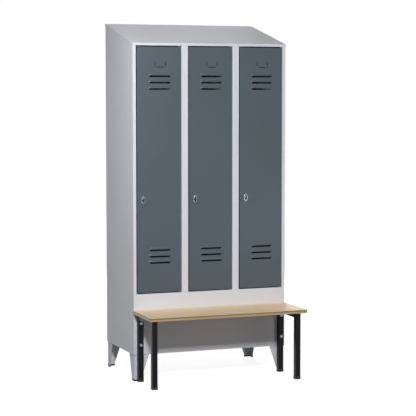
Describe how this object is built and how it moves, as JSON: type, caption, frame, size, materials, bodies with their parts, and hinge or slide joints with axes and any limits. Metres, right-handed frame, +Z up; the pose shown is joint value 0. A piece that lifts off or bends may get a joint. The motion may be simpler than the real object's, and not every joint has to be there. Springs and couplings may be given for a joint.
{
  "type": "locker with bench",
  "caption": "Steel cloakroom locker on tapered feet with a sloped roof, louvred hinged doors and a wooden bench on square tube legs bolted to its front",
  "frame": {"origin": "Centre of the whole footprint, bench included, at floor level.", "axes": "+Z is up. +Y points from the bench to the back of the locker. +X is to the right of someone who faces the doors."},
  "size_m": [0.91, 0.8052, 1.9697],
  "materials": {
    "body_paint": "satin light grey powder coat",
    "door_paint": "satin slate grey powder coat",
    "bench_paint": "glossy black powder coat",
    "seat_wood": "clear satin varnish on pale beech, grain along X",
    "chromed_latch": "polished chrome plate",
    "black_grip": "smooth black",
    "plated_steel": "zinc plated",
    "black_plastic": "matte black",
    "black_nylon": "black nylon",
    "black_rubber": "matte rubber"
  },
  "bodies": {
    "locker": {"base_panel": "body_paint", "bench_bolts": "plated_steel", "bench_front_leg_left": "bench_paint", "bench_front_leg_right": "bench_paint", "bench_leg_caps": "black_plastic", "bench_nuts": "plated_steel", "bench_rear_leg_left": "bench_paint", "bench_rear_leg_right": "bench_paint", "bench_side_rail_left": "bench_paint", "bench_side_rail_right": "bench_paint", "coat_rail_left": "plated_steel", "coat_rail_middle": "plated_steel", "coat_rail_right": "plated_steel", "compartment_floor": "body_paint", "door_buffers": "black_rubber", "foot_caps": "black_plastic", "foot_front_left": "body_paint", "foot_front_right": "body_paint", "foot_rear_left": "body_paint", "foot_rear_right": "body_paint", "hat_shelf_left": "body_paint", "hat_shelf_middle": "body_paint", "hat_shelf_right": "body_paint", "hinge_pins": "plated_steel", "lower_front_panel": "body_paint", "mullion_left": "body_paint", "mullion_right": "body_paint", "partition_left": "body_paint", "partition_right": "body_paint", "rear_panel": "body_paint", "roof_panel": "body_paint", "seat_board": "seat_wood", "seat_screws": "plated_steel", "seat_stiffener": "bench_paint", "side_panel_left": "body_paint", "side_panel_right": "body_paint", "top_rail": "body_paint"},
    "door_left": {"door_panel_left": "door_paint", "door_stiffener_left": "door_paint", "door_bushes_left": "black_nylon", "latch_plate_left": "chromed_latch"},
    "latch_left": {"latch_knob_left": "black_grip", "latch_cam_left": "plated_steel"},
    "hook_left": {"coat_hook_left": "black_plastic"},
    "door_middle": {"door_panel_middle": "door_paint", "door_stiffener_middle": "door_paint", "door_bushes_middle": "black_nylon", "latch_plate_middle": "chromed_latch"},
    "latch_middle": {"latch_knob_middle": "black_grip", "latch_cam_middle": "plated_steel"},
    "hook_middle": {"coat_hook_middle": "black_plastic"},
    "door_right": {"door_panel_right": "door_paint", "door_stiffener_right": "door_paint", "door_bushes_right": "black_nylon", "latch_plate_right": "chromed_latch"},
    "latch_right": {"latch_knob_right": "black_grip", "latch_cam_right": "plated_steel"},
    "hook_right": {"coat_hook_right": "black_plastic"}
  },
  "joints": [
    {"name": "door_hinge_left", "type": "hinge", "parent": "locker", "child": "door_left", "pos_m": [-0.18183, -0.0916, 1.1575], "axis": [0, 0, 1], "range_deg": [0, 110]},
    {"name": "latch_turn_left", "type": "hinge", "parent": "door_left", "child": "latch_left", "pos_m": [-0.397, -0.0986, 0.996], "axis": [0, 1, 0], "range_deg": [0, 90]},
    {"name": "hook_slide_left", "type": "slide", "parent": "locker", "child": "hook_left", "axis": [1, 0, 0], "range_m": [-0.1, 0.1]},
    {"name": "door_hinge_middle", "type": "hinge", "parent": "locker", "child": "door_middle", "pos_m": [0.11883, -0.0916, 1.1575], "axis": [0, 0, 1], "range_deg": [0, 110]},
    {"name": "latch_turn_middle", "type": "hinge", "parent": "door_middle", "child": "latch_middle", "pos_m": [-0.09633, -0.0986, 0.996], "axis": [0, 1, 0], "range_deg": [0, 90]},
    {"name": "hook_slide_middle", "type": "slide", "parent": "locker", "child": "hook_middle", "axis": [1, 0, 0], "range_m": [-0.1, 0.1]},
    {"name": "door_hinge_right", "type": "hinge", "parent": "locker", "child": "door_right", "pos_m": [0.4195, -0.0916, 1.1575], "axis": [0, 0, 1], "range_deg": [0, 110]},
    {"name": "latch_turn_right", "type": "hinge", "parent": "door_right", "child": "latch_right", "pos_m": [0.20433, -0.0986, 0.996], "axis": [0, 1, 0], "range_deg": [0, 90]},
    {"name": "hook_slide_right", "type": "slide", "parent": "locker", "child": "hook_right", "axis": [1, 0, 0], "range_m": [-0.1, 0.1]}
  ]
}
